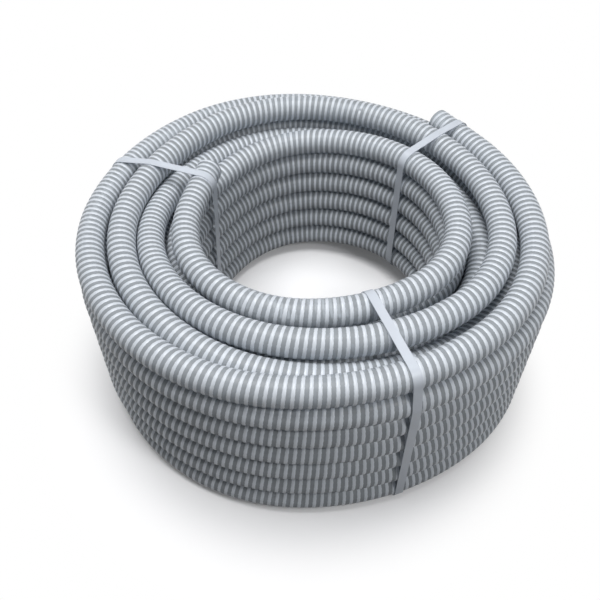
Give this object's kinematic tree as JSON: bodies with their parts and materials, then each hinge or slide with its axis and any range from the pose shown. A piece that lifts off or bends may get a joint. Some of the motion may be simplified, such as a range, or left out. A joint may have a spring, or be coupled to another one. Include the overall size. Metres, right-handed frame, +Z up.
{
  "type": "vacuum hose",
  "caption": "Coil of flexible suction hose with a clear grey wall round a white rigid spiral, cut bare at both ends and held by flat straps.",
  "frame": {"origin": "middle of the coil's base, on the plane of the straps' undersides", "axes": "+Z up along the coil's axis; -Y towards the viewer of the picture, +X to the viewer's right"},
  "size_m": [0.6647, 0.665, 0.2777],
  "materials": {
    "hose_wall": "clear grey flexible vinyl, smooth",
    "hose_spiral": "white rigid vinyl",
    "strap": "milky flat polypropylene band"
  },
  "bodies": {
    "root": {"hose_coil": "hose_wall", "hose_end_wall_inner": "hose_wall", "hose_end_wall_outer": "hose_wall", "hose_end_spiral_inner": "hose_spiral", "hose_end_spiral_outer": "hose_spiral", "strap_front": "strap", "strap_rear_right": "strap", "strap_rear_left": "strap"}
  },
  "joints": []
}
